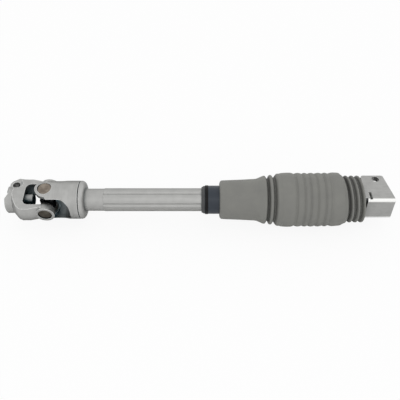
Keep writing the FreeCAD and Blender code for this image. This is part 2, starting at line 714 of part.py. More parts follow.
# Lower clamp yoke: a channel folded from sheet whose flanges flare into ears
def lowerClampYoke():
    body = newBody("lower_clamp_yoke")
    inner = "(sizes.lugFace - sizes.sheetThickness)"
    channelInner = "(sizes.channelHalf - sizes.sheetThickness)"
    sketch = newSketch(body, "channel_outline", "YZ_Plane", "sizes.flangeShoulder")
    loop(sketch, [
        ("-sizes.channelHalf", "-sizes.channelHalf"),
        ("sizes.channelBack", "-sizes.channelHalf"),
        ("sizes.channelBack", "-" + channelInner),
        ("-" + channelInner, "-" + channelInner),
        ("-" + channelInner, channelInner),
        ("sizes.channelBack", channelInner),
        ("sizes.channelBack", "sizes.channelHalf"),
        ("-sizes.channelHalf", "sizes.channelHalf"),
    ])
    channel = pad(body, sketch, "channel", "sizes.channelEnd - sizes.flangeShoulder", "One side")
    half = number("sizes.channelHalf")
    edges = straightEdges(channel, vec(1, 0, 0), [vec(0, -half, half), vec(0, -half, -half)])
    bends = dress(body, channel, "outer_bends", edges, "sizes.bendRadius")
    half = number(channelInner)
    edges = straightEdges(bends, vec(1, 0, 0), [vec(0, -half, half), vec(0, -half, -half)])
    dress(body, bends, "inner_bends", edges, "sizes.innerBendRadius")
    sketch = newSketch(body, "web_edge_outline", "XY_Plane")
    loop(sketch, [
        ("sizes.flangeShoulder", "-2 * sizes.channelHalf"),
        ("sizes.webStart", "-2 * sizes.channelHalf"),
        ("sizes.webStart", "-sizes.channelHalf + sizes.sheetThickness + sizes.innerBendRadius"),
        ("sizes.flangeShoulder", "-sizes.channelHalf + sizes.sheetThickness + sizes.innerBendRadius"),
    ])
    pocket(body, sketch, "web_edge")
    sketch = newSketch(body, "end_slant_outline", "XY_Plane")
    loop(sketch, [
        ("sizes.channelEnd", "-sizes.channelHalf"),
        ("sizes.channelEnd - sizes.channelEndSlant", "sizes.channelBack"),
        ("2 * sizes.channelEnd", "sizes.channelBack"),
        ("2 * sizes.channelEnd", "-sizes.channelHalf"),
    ])
    slant = pocket(body, sketch, "end_slant")
    # corners of the flanges
    shoulder = number("sizes.flangeShoulder")
    back = number("sizes.channelBack")
    tip = number("sizes.channelEnd - sizes.channelEndSlant")
    edges = straightEdges(slant, vec(0, 0, 1), [vec(shoulder, back, 0), vec(tip, back, 0)])
    dress(body, slant, "flange_corners", edges, "sizes.flangeCorner")
    # ears that flare from the flanges to the bearing cups
    sketch = newSketch(body, "ear_outline", "XZ_Plane")
    for sign in ("", "-"):
        loop(sketch, [
            ("0", sign + inner),
            ("sizes.earFlareStart - sizes.earFlareShift", sign + inner),
            ("sizes.earFlareEnd - sizes.earFlareShift", sign + channelInner),
            ("sizes.webStart", sign + channelInner),
            ("sizes.webStart", sign + "sizes.channelHalf"),
            ("sizes.earFlareEnd", sign + "sizes.channelHalf"),
            ("sizes.earFlareStart", sign + "sizes.lugFace"),
            ("0", sign + "sizes.lugFace"),
        ])
    pad(body, sketch, "flared_ears", "2 * sizes.neckHalf")
    for name, sign in (("front_taper", "-"), ("back_taper", "")):
        sketch = newSketch(body, name + "_outline", "XY_Plane")
        loop(sketch, [
            ("0", sign + "sizes.armHalfWidth"),
            ("sizes.earFlareStart + sizes.lugRadius", sign + "sizes.armHalfWidth"),
            ("sizes.earFlareEnd", sign + "sizes.neckHalf"),
            ("0", sign + "sizes.neckHalf"),
        ])
        pocket(body, sketch, name)
    # relief slots along the bends
    bendInside = "(" + channelInner + " - sizes.innerBendRadius)"
    slotStart = "sizes.webStart + sizes.reliefInset"
    slotFront = "-sizes.channelHalf + sizes.reliefSkin"
    for name, level, reverse in (("upper_relief", bendInside, True),
                                 ("lower_relief", "-" + bendInside, False)):
        sketch = newSketch(body, name + "_outline", "XY_Plane", level)
        loop(sketch, [
            (slotStart, slotFront),
            (slotStart + " + sizes.reliefWidth", slotFront),
            (slotStart + " + sizes.reliefWidth", slotFront + " + sizes.reliefLength"),
            (slotStart, slotFront + " + sizes.reliefLength"),
        ])
        pocket(body, sketch, name, "2 * sizes.sheetThickness", "One side", reverse)
    lugs(body, inner)
    sketch = newSketch(body, "clamp_bolt_outline", "XY_Plane")
    ring(sketch, "sizes.lowerJointToBolt", "sizes.lowerBoltOffset", "sizes.lowerBoltRadius")
    pocket(body, sketch, "clamp_bolt_bore")
    place(body, lowerJoint)
    return keep(body, "lower_clamp_yoke")


# Cross of a universal joint, its trunnions along Y and Z
def cross(label, station, turn):
    body = newBody(label)
    half = "sizes.crossCoreHalf"
    sketch = newSketch(body, "core_outline", "XY_Plane")
    loop(sketch, [("-" + half, "-" + half), (half, "-" + half), (half, half), ("-" + half, half)])
    core = pad(body, sketch, "core", "2 * " + half)
    doc.recompute()
    edges = ["Edge%d" % (index + 1) for index in range(len(core.Shape.Edges))]
    dress(body, core, "core_chamfers", edges, "sizes.crossCoreChamfer", "PartDesign::Chamfer")
    reach = cupFace + " - sizes.cupFloor - sizes.trunnionEndGap"
    shoulder = cupMouth + " - sizes.crossShoulderGap"
    for name, radius, length in (("shoulders", "sizes.crossShoulderRadius", shoulder),
                                 ("trunnions", "sizes.trunnionRadius", reach)):
        for side, plane in (("upright", "XY_Plane"), ("level", "XZ_Plane")):
            sketch = newSketch(body, name + "_" + side + "_outline", plane)
            ring(sketch, "0", "0", radius)
            pad(body, sketch, name + "_" + side, "2 * (" + length + ")")
    place(body, station, turn)
    return keep(body, label)


# Bearing cup, its mouth towards the cross
def bearingCup(label, station, turn):
    body = newBody(label)
    turned(body, "cup", [
        (cupMouth, cupBore),
        (cupMouth, "sizes.cupRadius"),
        (cupFace + " - sizes.cupEdge", "sizes.cupRadius"),
        (cupFace, "sizes.cupRadius - sizes.cupEdge"),
        (cupFace, "0"),
        (cupFace + " - sizes.cupFloor", "0"),
        (cupFace + " - sizes.cupFloor", cupBore),
    ])
    stand(body, station, turn)
    return keep(body, label)


# Rubber seal between the cup's mouth and the cross
def cupSeal(label, station, turn):
    body = newBody(label)
    turned(body, "seal", [
        (cupMouth + " - sizes.seatGap - sizes.sealThickness", "sizes.trunnionRadius + sizes.sealClearance"),
        (cupMouth + " - sizes.seatGap - sizes.sealThickness", "sizes.sealRadius"),
        (cupMouth + " - sizes.seatGap", "sizes.sealRadius"),
        (cupMouth + " - sizes.seatGap", "sizes.trunnionRadius + sizes.sealClearance"),
    ])
    stand(body, station, turn)
    return keep(body, label)


# Needle rollers of one cup, a full complement around the trunnion
def needleRollers():
    rollers = []
    for index in range(int(number("sizes.needleCount"))):
        roller = doc.addObject("Part::Cylinder", "needle_roller")
        roller.Placement.Rotation = FreeCAD.Rotation(vec(0, 1, 0), 90)
        roller.setExpression("Radius", "sizes.needleRadius")
        roller.setExpression("Height", "sizes.needleLength")
        angle = "%d * 360 deg / sizes.needleCount" % index
        roller.setExpression("Placement.Base.x",
                             cupFace + " - sizes.cupFloor - sizes.trunnionEndGap - sizes.needleLength")
        roller.setExpression("Placement.Base.y", needlePitch + " * cos(" + angle + ")")
        roller.setExpression("Placement.Base.z", needlePitch + " * sin(" + angle + ")")
        rollers.append(roller)
    return rollers


def needleSet(label, rollers, station, turn):
    """One set of the rollers, standing in its own cup."""
    item = doc.addObject("Part::Compound", label)
    item.Links = rollers
    stand(item, station, turn)
    return keep(item, label)


def stand(item, station, turn):
    """Turns a bearing piece from the X axis to a trunnion, at a joint of the shaft."""
    upright = FreeCAD.Rotation(vec(0, 1, 0), -90)
    around = FreeCAD.Rotation(vec(1, 0, 0), number(turn))
    item.Placement = FreeCAD.Placement(vec(number(station), 0, 0), around.multiply(upright))
    item.setExpression("Placement.Base.x", station)


def bearings(prefix, rollers, station, turns):
    """Cup, needles and seal on both trunnions of one yoke."""
    for side, turn in turns:
        bearingCup(prefix + "_cup_" + side, station, turn)
        needleSet(prefix + "_needles_" + side, rollers, station, turn)
        cupSeal(prefix + "_seal_" + side, station, turn)


# Rubber boot: an even wall along the outline of its neck, ripples and folds, and a lip on the tube
def boot():
    body = newBody("boot")
    neck = ("Lip", "LipEdge", "Neck", "Sleeve", "SleeveEnd", "Flare", "Shoulder", "Collar",
            "CollarGroove", "Bead", "BeadGroove", "Rise", "RiseEnd", "Crest")
    outline = [("-sizes.boot" + name + "Place", "sizes.boot" + name + "Radius") for name in neck]
    for index in range(int(number("sizes.bootRippleCount"))):
        valley = "-sizes.bootRippleStart + %d * sizes.bootRipplePitch" % index
        outline.append((valley, "sizes.bootRippleLow"))
        outline.append((valley + " + sizes.bootRipplePitch / 2", "sizes.bootRippleHigh"))
    outline.append(("-sizes.bootRippleStart + sizes.bootRippleCount * sizes.bootRipplePitch",
                    "sizes.bootRippleLow"))
    outline.append(("sizes.bootBandEnd", "sizes.bootBandRadius"))
    outline.append(("sizes.bootTaperEnd", "sizes.bootTaperRadius"))
    for index in range(int(number("sizes.bootFoldCount"))):
        groove = "sizes.bootFoldStart + %d * sizes.bootFoldPitch" % index
        ridge = groove + " + sizes.bootFoldRise"
        radius = "sizes.bootFoldRadius - %d * sizes.bootFoldTaper" % index
        outline.append((groove, radius + " - sizes.bootFoldDepth"))
        outline.append((ridge + " - sizes.bootFoldRound", radius + " - sizes.bootFoldEase"))
        outline.append((ridge, radius))
        outline.append((ridge + " + sizes.bootFoldRound", radius + " - sizes.bootFoldEase"))
    outline[-1] = (ridge + " + sizes.bootEndLand", radius + " - sizes.bootFoldEase")
    lipFace = outline[0][0] + " + sizes.bootLipWidth"
    lipRadius = "sizes.tubeRadius + sizes.bootLipGap"
    inside = [(station, edge + " - sizes.bootWall") for station, edge in reversed(outline[3:])]
    inside.append((lipFace, outline[2][1] + " - sizes.bootWall"))
    inside.append((lipFace, lipRadius))
    inside.append((outline[0][0], lipRadius))
    turned(body, "folded_wall", outline + inside)
    place(body, lowerJoint)
    return keep(body, "boot")


upperClampYoke()
collarYoke()
damperBush()
collarEndPlate()
innerShaft()
slipSleeve()
outerTube()
tubeEndCap()
retainingRing()
wiperSeal()
tubeYoke()
lowerClampYoke()
cross("upper_cross", upperJoint, "sizes.upperPhase")
cross("lower_cross", lowerJoint, "0")
rollers = needleRollers()
bearings("clamp_yoke", rollers, upperJoint,
         (("front", "sizes.upperPhase + 90"), ("back", "sizes.upperPhase - 90")))
bearings("collar_yoke", rollers, upperJoint,
         (("top", "sizes.upperPhase"), ("bottom", "sizes.upperPhase + 180")))
bearings("tube_yoke", rollers, lowerJoint, (("front", "90"), ("back", "-90")))
bearings("lower_yoke", rollers, lowerJoint, (("top", "0"), ("bottom", "180")))
boot()

doc.recompute()
faults = []
for item in doc.Objects:
    if "Invalid" in item.State or "Error" in item.State:
        faults.append("%s: %s" % (item.Name, item.State))
for item in parts:
    if item.Shape.isNull() or not item.Shape.isValid():
        faults.append("%s has no valid shape" % item.Label)
if faults:
    raise RuntimeError("; ".join(faults))

for item in parts:
    item.Shape.exportStep("parts/" + item.Label + ".step")
    print(item.Label, len(item.Shape.Solids), round(item.Shape.Volume, 1))
print(len(parts), "sub-parts written")
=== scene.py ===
import json
import math

import bmesh
import bpy
from mathutils import Matrix, Vector

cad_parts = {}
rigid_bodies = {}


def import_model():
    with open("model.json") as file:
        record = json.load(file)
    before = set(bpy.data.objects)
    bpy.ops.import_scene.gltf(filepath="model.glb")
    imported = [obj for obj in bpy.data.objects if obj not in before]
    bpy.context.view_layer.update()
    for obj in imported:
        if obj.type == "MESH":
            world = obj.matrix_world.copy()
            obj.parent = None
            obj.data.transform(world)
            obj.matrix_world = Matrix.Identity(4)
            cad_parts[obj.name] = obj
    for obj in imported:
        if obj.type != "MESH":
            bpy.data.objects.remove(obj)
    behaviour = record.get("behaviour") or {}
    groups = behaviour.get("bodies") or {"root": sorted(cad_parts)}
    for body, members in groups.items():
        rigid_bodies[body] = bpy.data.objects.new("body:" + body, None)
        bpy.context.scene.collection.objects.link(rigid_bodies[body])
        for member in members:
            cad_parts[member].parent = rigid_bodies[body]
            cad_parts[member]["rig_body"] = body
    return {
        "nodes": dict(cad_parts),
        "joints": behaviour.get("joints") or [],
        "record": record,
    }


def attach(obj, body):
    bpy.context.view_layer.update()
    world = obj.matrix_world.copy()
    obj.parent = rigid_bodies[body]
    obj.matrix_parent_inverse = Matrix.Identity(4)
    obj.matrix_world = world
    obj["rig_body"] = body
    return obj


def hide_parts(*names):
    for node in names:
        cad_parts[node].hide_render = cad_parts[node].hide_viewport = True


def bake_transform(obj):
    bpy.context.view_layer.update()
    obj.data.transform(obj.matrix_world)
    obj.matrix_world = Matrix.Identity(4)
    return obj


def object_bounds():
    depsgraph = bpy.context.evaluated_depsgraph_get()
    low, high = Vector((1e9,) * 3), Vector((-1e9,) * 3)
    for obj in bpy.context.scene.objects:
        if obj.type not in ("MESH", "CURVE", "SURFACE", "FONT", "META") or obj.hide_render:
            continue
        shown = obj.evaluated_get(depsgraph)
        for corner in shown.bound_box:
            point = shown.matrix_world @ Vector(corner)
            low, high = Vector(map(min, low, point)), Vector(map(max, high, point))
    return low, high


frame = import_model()

# Intermediate steering shaft, in metres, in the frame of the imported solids
mm = 0.001
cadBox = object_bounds()
nodes = frame["nodes"]
scene = bpy.context.scene
scene.view_settings.view_transform = "Standard"
joints = {joint["name"]: joint for joint in frame["joints"]}
slotOf = {entry["node"]: entry["material_slot"] for entry in frame["record"]["subparts"]}
mounts = {mount["name"]: mount for mount in frame["record"]["mounts"]}
lowerJoint = joints["tube_hinge"]["pos_m"][0]
print("frame loaded:", len(nodes), "nodes")


def fromHex(code):
    # sRGB hex to the linear numbers that the sockets hold
    parts = [int(code[i:i + 2], 16) / 255 for i in (0, 2, 4)]
    return [p / 12.92 if p <= 0.04045 else ((p + 0.055) / 1.055) ** 2.4 for p in parts] + [1.0]


def addNode(tree, kind, settings=None, links=None):
    # one node: settings go to its inputs or its own properties, links feed its inputs
    node = tree.nodes.new(kind)
    for name, value in (settings or {}).items():
        if isinstance(name, int) or name in node.inputs:
            node.inputs[name].default_value = value
        else:
            setattr(node, name, value)
    for name, source in (links or {}).items():
        tree.links.new(source, node.inputs[name])
    return node


def newMaterial(name):
    material = bpy.data.materials.new(name)
    material.use_nodes = True
    material.node_tree.nodes.clear()
    return material, material.node_tree


def paintedShadeShare(tree, look):
    # painted shade in hollows: what sees little of the open air is painted darker, towards the shade tint
    air = addNode(tree, "ShaderNodeAmbientOcclusion", {"samples": 8, "only_local": look["local"],
                                                       "Distance": look["reach"] * mm}).outputs["AO"]
    fullyOpen, fullyHidden = look["shelter"]
    return addNode(tree, "ShaderNodeMapRange", {"From Min": fullyOpen, "From Max": fullyHidden, "To Max": look["shadeStrength"]},
                   {"Value": air}).outputs[0]


def grainGloss(tree, look, grain):
    # roughness that goes up and down with the grain
    low, high = look["grainSpan"]
    return addNode(tree, "ShaderNodeMapRange", {"From Min": low, "From Max": high, "To Min": look["smooth"],
                                                "To Max": look["rough"]}, {"Value": grain}).outputs[0]


def foldHighlightShare(tree, look, place):
    # the outside of each fold, burnished smooth by the die, with a painted highlight along it
    axes = addNode(tree, "ShaderNodeSeparateXYZ", {}, {0: place}).outputs
    height = addNode(tree, "ShaderNodeMath", {"operation": "ABSOLUTE"}, {0: axes["Z"]}).outputs[0]
    share = addNode(tree, "ShaderNodeMath", {"operation": "MULTIPLY", 1: look["foldLean"]},
                    {0: height}).outputs[0]
    reach = addNode(tree, "ShaderNodeMath", {"operation": "SUBTRACT"}, {0: share, 1: axes["Y"]}).outputs[0]
    low, high = (value * mm for value in look["foldHighlight"])
    return addNode(tree, "ShaderNodeMapRange", {"From Min": low, "From Max": high},
                   {"Value": reach}).outputs[0]


# Steel, forged, folded, turned or drawn, left bare and oiled: a mid grey metal with a soft sheen, a patchy
# oil film, corners rubbed bright, part wear and part painted highlight, and painted shade in its hollows
def steelMaterial(name, look):
    material, tree = newMaterial(name)
    place = addNode(tree, "ShaderNodeTexCoord").outputs["Object"]
    mapped = addNode(tree, "ShaderNodeMapping", {"Scale": look["stretch"]},
                     {"Vector": place}).outputs["Vector"]
    cloud = addNode(tree, "ShaderNodeTexNoise", {"Scale": 1 / (look["cloudSize"] * mm), "Detail": 4.0},
                    {"Vector": place}).outputs["Fac"]
    lines = addNode(tree, "ShaderNodeTexNoise", {"Scale": 1 / (look["lineSize"] * mm), "Detail": 3.0},
                    {"Vector": mapped}).outputs["Fac"]
    grain = addNode(tree, "ShaderNodeTexNoise", {"Scale": 1 / (look["grainSize"] * mm), "Detail": 2.0},
                    {"Vector": place}).outputs["Fac"]
    patchy = addNode(tree, "ShaderNodeMath", {"operation": "MULTIPLY_ADD", 1: look["lineShare"]},
                     {0: lines, 2: cloud}).outputs[0]
    thin, thick = look["filmSpan"]
    patch = addNode(tree, "ShaderNodeMapRange", {"From Min": thin, "From Max": thick},
                    {"Value": patchy}).outputs[0]
    film = addNode(tree, "ShaderNodeMix", {"data_type": "RGBA", 6: fromHex(look["dark"]),
                                           7: fromHex(look["light"])}, {0: patch}).outputs[2]
    # corners: the bevelled normal turns away from the face beside an edge
    rounded = addNode(tree, "ShaderNodeBevel", {"samples": 6, "Radius": look["edge"] * mm}).outputs["Normal"]
    facing = addNode(tree, "ShaderNodeNewGeometry").outputs["Normal"]
    turn = addNode(tree, "ShaderNodeVectorMath", {"operation": "DOT_PRODUCT"}, {0: rounded, 1: facing})
    flat, corner = look["cornerSpan"]
    wornHighlight = addNode(tree, "ShaderNodeMapRange", {"From Min": flat, "From Max": corner, "To Max": look["wearHighlight"]},
                   {"Value": turn.outputs["Value"]}).outputs[0]
    if "foldHighlight" in look:
        wornHighlight = addNode(tree, "ShaderNodeMath", {"operation": "MAXIMUM"},
                       {0: wornHighlight, 1: foldHighlightShare(tree, look, place)}).outputs[0]
    # corners and folds take a near-white colour: part wear, part painted highlight
    wornHighlighted = addNode(tree, "ShaderNodeMix", {"data_type": "RGBA", 7: fromHex(look["wornHighlight"])},
                     {0: wornHighlight, 6: film}).outputs[2]
    # painted shade: the hollows are mixed towards a dark tint
    colour = addNode(tree, "ShaderNodeMix", {"data_type": "RGBA", 7: fromHex(look["shadeTint"])},
                     {0: paintedShadeShare(tree, look), 6: wornHighlighted}).outputs[2]
    sheen = addNode(tree, "ShaderNodeMix", {"data_type": "FLOAT", 3: look["wornRough"]},
                    {0: wornHighlight, 2: grainGloss(tree, look, grain)})
    relief = addNode(tree, "ShaderNodeMath", {"operation": "ADD"}, {0: lines, 1: grain}).outputs[0]
    bump = addNode(tree, "ShaderNodeBump", {"Strength": look["bump"], "Distance": look["bumpDepth"] * mm},
                   {"Height": relief, "Normal": rounded}).outputs["Normal"]
    # the tint keeps the edges that are seen at a slant from going white
    metal = {"Metallic": 1.0, "Specular Tint": fromHex(look["rim"])}
    shader = addNode(tree, "ShaderNodeBsdfPrincipled", metal,
                     {"Base Color": colour, "Roughness": sheen.outputs[0], "Normal": bump})
    addNode(tree, "ShaderNodeOutputMaterial", {}, {"Surface": shader.outputs["BSDF"]})
    return material


# Moulded rubber or plastic: an even colour with a faint cloud, a fine grain, a dull sheen and painted shade
# in its creases
def mouldedMaterial(name, look):
    material, tree = newMaterial(name)
    place = addNode(tree, "ShaderNodeTexCoord").outputs["Object"]
    cloud = addNode(tree, "ShaderNodeTexNoise", {"Scale": 1 / (look["cloudSize"] * mm), "Detail": 3.0},
                    {"Vector": place}).outputs["Fac"]
    grain = addNode(tree, "ShaderNodeTexNoise", {"Scale": 1 / (look["grainSize"] * mm), "Detail": 3.0},
                    {"Vector": place}).outputs["Fac"]
    low, high = look["cloudSpan"]
    patch = addNode(tree, "ShaderNodeMapRange", {"From Min": low, "From Max": high},
                    {"Value": cloud}).outputs[0]
    plain = addNode(tree, "ShaderNodeMix", {"data_type": "RGBA", 6: fromHex(look["dark"]),
                                            7: fromHex(look["light"])}, {0: patch}).outputs[2]
    # painted shade: creases and hollows are mixed towards a dark tint
    colour = addNode(tree, "ShaderNodeMix", {"data_type": "RGBA", 7: fromHex(look["shadeTint"])},
                     {0: paintedShadeShare(tree, look), 6: plain}).outputs[2]
    bump = addNode(tree, "ShaderNodeBump", {"Strength": look["bump"], "Distance": look["bumpDepth"] * mm},
                   {"Height": grain}).outputs["Normal"]
    shader = addNode(tree, "ShaderNodeBsdfPrincipled", {"Metallic": 0.0, "IOR": look["ior"]},
                     {"Base Color": colour, "Roughness": grainGloss(tree, look, grain), "Normal": bump})
    addNode(tree, "ShaderNodeOutputMaterial", {}, {"Surface": shader.outputs["BSDF"]})
    return material


# Sizes in the looks are in mm. The real grit and tool marks are a tenth of a millimetre or less and would not
# show from here, so every grainSize and lineSize below is drawn coarser than the real one.

# Drop forged steel, phosphated and oiled: satin mid grey with soft patches, its corners a little brighter,
# part wear and part painted highlight
forgedLook = {
    "dark": "ACACAA", "light": "B7B7B5", "filmSpan": (0.6, 0.9), "cloudSize": 9.0,  # oil film
    "lineSize": 1.4, "lineShare": 0.5, "stretch": (1, 1, 1),  # tool or draw marks, stretched along one axis
    "grainSize": 0.6, "grainSpan": (0.3, 0.7), "smooth": 0.42, "rough": 0.54, "bump": 0.4, "bumpDepth": 0.03,
    # The corner colour is part wear and part painted highlight; the hollow tint is painted shade
    "wornHighlight": "FAFAF8", "wearHighlight": 0.9, "wornRough": 0.28, "edge": 0.9, "cornerSpan": (0.99, 0.86),  # corners
    "shadeTint": "283D43", "shadeStrength": 1.0, "reach": 20.0, "shelter": (0.85, 0.35), "local": False,  # hollows
    "rim": "787878",  # sheen at a slant
}
# Sheet steel folded in a press: faint rolling marks along the shaft, and both folds burnished by the die,
# with a painted highlight
foldedLook = dict(forgedLook, dark="AAAAA8", light="B4B4B2", wornHighlight="FCFCFA", shadeTint="4A5557", shadeStrength=0.65,
                  edge=0.5, stretch=(0.1, 1, 1), lineSize=1.6, foldHighlight=(21.8, 22.25), foldLean=0.65)
# Turned steel: fine rings round the shaft, and blue-black painted shade inside the collar
turnedLook = dict(forgedLook, rim="585858", shadeTint="234C58", stretch=(1, 0.02, 0.02), lineSize=0.8,
                  grainSize=0.4, bump=0.3)
# Turned steel for the end plate: the same rings, a little brighter, with less painted shade in its hollows
plateLook = dict(turnedLook, dark="B2B2B0", light="BCBCBA", rim="A8A8A8", reach=5.0, shadeStrength=0.5)
# Cold drawn bar and tube: even and bright, with long draw marks
drawnLook = dict(forgedLook, rim="C4C4C4", shadeStrength=0.5, reach=5.0, dark="ADADAB", light="B3B3B1", rough=0.52,
                 stretch=(0.04, 1, 1), lineSize=1.2, grainSize=0.5, wearHighlight=0.3)
# Drilled walls: their painted shade reaches only a short way, so only their depths are dark
boreLook = dict(forgedLook, reach=2.5, edge=0.5)
# Deep drawn bearing cups, tempered brown, the clamp yoke's darker, with painted shade round their rims
brownCupLook = dict(forgedLook, dark="786F66", light="968D82", wornHighlight="B4ACA0", shadeTint="2A2622", smooth=0.34,
                    rough=0.5, cloudSize=7.0, edge=0.3, reach=2.2, shadeStrength=0.9, stretch=(0.2, 1, 1))
darkCupLook = dict(brownCupLook, dark="524E48", light="6C6860")
plainCupLook = dict(brownCupLook, dark="6A665C", light="86826F")
# Ground and polished needle rollers: bright and smooth
needleLook = dict(forgedLook, dark="B8B8B8", light="C4C4C4", smooth=0.15, rough=0.22, bump=0.1, edge=0.2)
# Case hardened crosses, greased: coloured near black, which also paints the shade inside the joints
crossLook = dict(forgedLook, dark="1E2021", light="2C2F30", wornHighlight="4A4D4C", shadeTint="0C0E0F", smooth=0.3,
                 rough=0.45, edge=0.3)
# Moulded grey boot rubber: matte and even, with painted shade in its creases
rubberLook = {
    "dark": "777773", "light": "7D7D78", "cloudSpan": (0.3, 0.7), "cloudSize": 14.0,
    "grainSize": 0.6, "grainSpan": (0.3, 0.7), "smooth": 0.55, "rough": 0.68, "bump": 0.3, "bumpDepth": 0.05,
    "shadeTint": "1A1A18", "shadeStrength": 0.9, "reach": 5.0, "shelter": (0.95, 0.35), "local": True,
    "ior": 1.5,
}
# Nitrile seals: near black, the outer one greyed by dust
sealLook = dict(rubberLook, dark="232425", light="2B2C2D", shadeTint="101112")
wiperLook = dict(sealLook, dark="3E3F40", light="4B4C4D")
# Acetal ring: the blackest piece, without a highlight; its near-black colour also paints the shade in the
# groove beside the cap
ringLook = dict(rubberLook, dark="060607", light="0B0B0C", shadeTint="030303", smooth=0.5, rough=0.6, ior=1.3)
# Navy nylon end cap: satin
capLook = dict(rubberLook, dark="1E2631", light="252E39", shadeTint="14181D", smooth=0.36, rough=0.46)
# Natural nylon slip sleeve: creamy and waxy
sleeveLook = dict(rubberLook, dark="D8D4C8", light="E2DFD4", shadeTint="8A8578", smooth=0.3, rough=0.4)
# Painted light in the relief slots: a matte pale grey in place of the light on their walls, with a little
# painted shade
slotLightLook = dict(rubberLook, dark="A4A5A2", light="B0B1AE", shadeTint="6A6C69", reach=1.2, shadeStrength=0.6)

finishes = {
    "yoke_steel": steelMaterial("forged steel, phosphated", forgedLook),
    "drawn_steel": steelMaterial("cold drawn steel", drawnLook),
    "cup_steel": steelMaterial("bearing cup steel, oiled", plainCupLook),
    "bearing_steel": steelMaterial("ground bearing steel", needleLook),
    "cross_steel": steelMaterial("case hardened steel, greased", crossLook),
    "boot_rubber": mouldedMaterial("moulded boot rubber", rubberLook),
    "seal_rubber": mouldedMaterial("nitrile seal rubber", sealLook),
    "ring_plastic": mouldedMaterial("black acetal", ringLook),
    "cap_plastic": mouldedMaterial("navy nylon", capLook),
    "sleeve_nylon": mouldedMaterial("natural nylon", sleeveLook),
}
drilled = steelMaterial("drilled steel, shallow painted shade", boreLook)
# a matte pale grey that paints light into the relief slots
slotPaintedLight = mouldedMaterial("matte pale grey, painted slot light", slotLightLook)
brownCup = steelMaterial("bearing cup steel, browned", brownCupLook)
darkCup = steelMaterial("bearing cup steel, darker", darkCupLook)
finishOf = {
    "collar_yoke": steelMaterial("turned steel, phosphated", turnedLook),
    "collar_end_plate": steelMaterial("turned steel, brighter, less painted shade", plateLook),
    "lower_clamp_yoke": steelMaterial("folded sheet steel, phosphated", foldedLook),
    "collar_yoke_cup_top": brownCup,
    "collar_yoke_cup_bottom": brownCup,
    "clamp_yoke_cup_front": darkCup,
    "clamp_yoke_cup_back": darkCup,
    "wiper_seal": mouldedMaterial("dusty seal rubber", wiperLook),
}
print("materials made:", len({*finishes.values(), *finishOf.values(), drilled, slotPaintedLight}))


def addPiece(name, bm, slot, body=None, finish=None):
    mesh = bpy.data.meshes.new(name)
    bm.to_mesh(mesh)
    bm.free()
    mesh.materials.append(finish or finishes[slot])
    piece = bpy.data.objects.new(name, mesh)
    scene.collection.objects.link(piece)
    if body:
        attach(piece, body)
    return piece


def shade(bm, angle):
    # smooth faces, with every edge that turns more than the angle kept sharp
    for face in bm.faces:
        face.smooth = True
    for edge in bm.edges:
        edge.smooth = edge.is_manifold and edge.calc_face_angle() < math.radians(angle)


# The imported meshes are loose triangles, so each is shown as a welded copy, smooth up to its sharp edges
weldLook = {"weld": 2e-6, "sharp": 32.0}

# Splines of the hub's bore, in mm: their tips at the bore's own radius, cut in from outside the hub's end
splines = {"teeth": 36, "tip": 8.6, "root": 9.55, "from": -11.0, "to": 6.6}


def cutSplines(bm):
    star = bmesh.new()
    outline = bmesh.ops.create_circle(star, cap_ends=True, segments=2 * splines["teeth"],
                                      radius=splines["root"] * mm,
                                      matrix=Matrix.Rotation(math.pi / 2, 4, "Y"))["verts"]
    for index, vert in enumerate(outline):
        if index % 2:
            vert.co *= splines["tip"] / splines["root"]
    bmesh.ops.translate(star, verts=outline, vec=(splines["from"] * mm, 0, 0))
    grown = bmesh.ops.extrude_face_region(star, geom=star.faces[:])["geom"]
    bmesh.ops.translate(star, verts=[item for item in grown if isinstance(item, bmesh.types.BMVert)],
                        vec=((splines["to"] - splines["from"]) * mm, 0, 0))
    bmesh.ops.recalc_face_normals(star, faces=star.faces)
    cutters = []
    for name, part in (("hub_blank", bm), ("broach", star)):
        mesh = bpy.data.meshes.new(name)
        part.to_mesh(mesh)
        part.free()
        cutters.append(bpy.data.objects.new(name, mesh))
        scene.collection.objects.link(cutters[-1])
    blank, broach = cutters
    cut = blank.modifiers.new("broached splines", "BOOLEAN")
    cut.operation = "DIFFERENCE"
    cut.solver = "EXACT"
    cut.object = broach
    shaped = blank.evaluated_get(bpy.context.evaluated_depsgraph_get())
    result = bmesh.new()
    result.from_mesh(shaped.to_mesh())
    shaped.to_mesh_clear()
    for item in cutters:
        bpy.data.objects.remove(item)
    bmesh.ops.remove_doubles(result, verts=result.verts, dist=weldLook["weld"])
    return result


# Faces with a finish of their own, in mm: bolt holes by their mount, and the stretch of the relief slots
boreOf = {"upper_clamp_yoke": "upper_pinch_bolt", "lower_clamp_yoke": "lower_clamp_bolt"}
boreSlack = 0.01
reliefSlot = {"node": "lower_clamp_yoke", "from": 383.4, "to": 386.4, "skin": 14.7}


def paintFaces(piece, finish, chosen):
    piece.data.materials.append(finish)
    for face in piece.data.polygons:
        if chosen(face.center):
            face.material_index = len(piece.data.materials) - 1


def paintBore(piece, mount):
    # the walls of the bolt hole are drilled metal, with painted shade only in their depths
    start, axis = Vector(mount["pos_m"]), Vector(mount["axis"]).normalized()
    radius = (mount["dims"]["r_mm"] + boreSlack) * mm

    def onWall(middle):
        offset = middle - start
        return (offset - axis * offset.dot(axis)).length < radius

    paintFaces(piece, drilled, onWall)


def paintSlots(piece):
    # painted light: the walls of the relief slots along the channel's bends are a matte pale grey, in place
    # of the light on them
    def inSlot(middle):
        along, across = middle.x / mm, max(abs(middle.y), abs(middle.z)) / mm
        return reliefSlot["from"] < along < reliefSlot["to"] and across < reliefSlot["skin"]

    paintFaces(piece, slotPaintedLight, inSlot)


